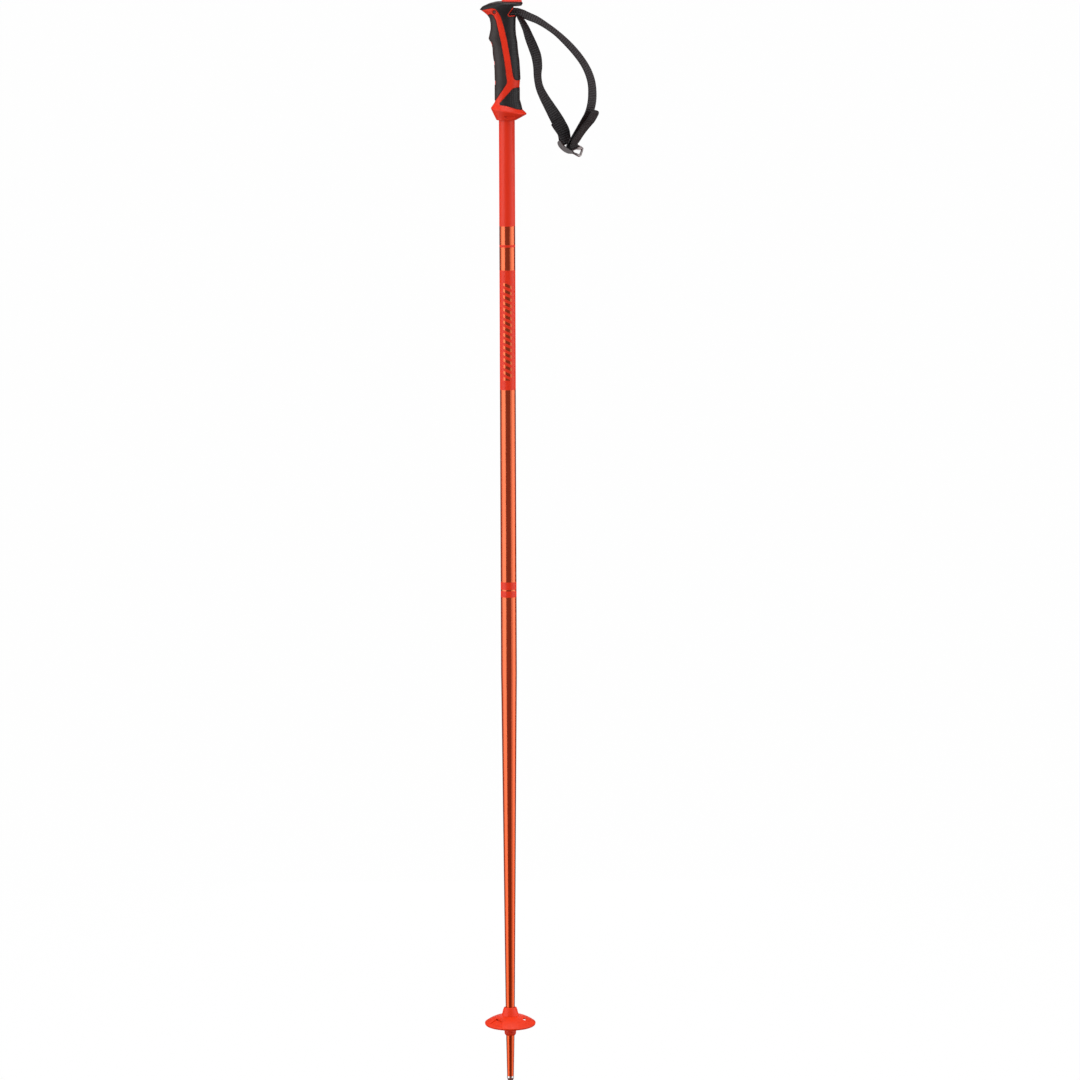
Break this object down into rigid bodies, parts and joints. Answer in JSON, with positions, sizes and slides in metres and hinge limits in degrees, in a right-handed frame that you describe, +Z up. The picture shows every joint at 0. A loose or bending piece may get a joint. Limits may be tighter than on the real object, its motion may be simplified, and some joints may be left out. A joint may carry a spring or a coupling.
{
  "type": "ski pole",
  "caption": "Alpine ski pole: tapered alloy shaft, moulded two-colour grip, webbing wrist strap with ladder buckle, press-on basket and steel crown tip.",
  "frame": {"origin": "centre of the steel crown's rim, the lowest point of the pole", "axes": "+Z up the shaft to the grip, -X towards the fingers and the pointed side of the head, +X towards the palm and the wrist strap, Y across the grip"},
  "size_m": [0.133, 0.0578, 1.25],
  "materials": {
    "shaft_alloy": "copper-orange anodised tube with matte red painted bands",
    "tip_steel": "bright turned steel",
    "core_carbide": "dark sintered carbide",
    "basket_plastic": "satin red moulding",
    "grip_plastic": "satin red moulding",
    "pad_rubber": "black rubber with a fine dimple texture on the palm side",
    "finger_rubber": "dark grey smooth rubber",
    "cap_plastic": "red moulding",
    "pin_steel": "plain steel pin",
    "webbing": "black woven webbing with cross ribs",
    "thread": "black thread",
    "buckle_metal": "gunmetal, slightly glossy"
  },
  "bodies": {
    "pole": {"shaft": "shaft_alloy", "steel_tip": "tip_steel", "tip_core": "core_carbide", "grip_core": "grip_plastic", "palm_pad": "pad_rubber", "finger_pad": "finger_rubber", "heel_pad": "pad_rubber", "top_cap": "cap_plastic", "strap_anchor_pin": "pin_steel", "strap_root": "webbing"},
    "basket": {"basket": "basket_plastic"},
    "strap": {"strap_outer_run": "webbing", "strap_inner_run": "webbing", "strap_fold": "webbing", "fold_stitching": "thread"},
    "buckle": {"buckle_frame": "buckle_metal", "strap_turn": "webbing"},
    "tail": {"strap_tail": "webbing"}
  },
  "joints": [
    {"name": "strap_swing", "type": "hinge", "parent": "pole", "child": "strap", "pos_m": [0.022, 0, 1.2355], "axis": [0, 1, 0], "range_deg": [-100, 8], "stiffness_Nm_per_rad": 0.04, "springref_deg": -5.73},
    {"name": "buckle_tilt", "type": "hinge", "parent": "strap", "child": "buckle", "pos_m": [0.06579, 0.00295, 1.08723], "axis": [0.5426, 0.829, 0.1353], "range_deg": [0, 8], "stiffness_Nm_per_rad": 0.01},
    {"name": "tail_flap", "type": "hinge", "parent": "buckle", "child": "tail", "pos_m": [0.07577, -0.00298, 1.08357], "axis": [0.5426, 0.829, 0.1353], "range_deg": [0, 40], "stiffness_Nm_per_rad": 0.01},
    {"name": "basket_pull_off", "type": "slide", "parent": "pole", "child": "basket", "axis": [0, 0, -1], "range_m": [0, 0.1]}
  ]
}
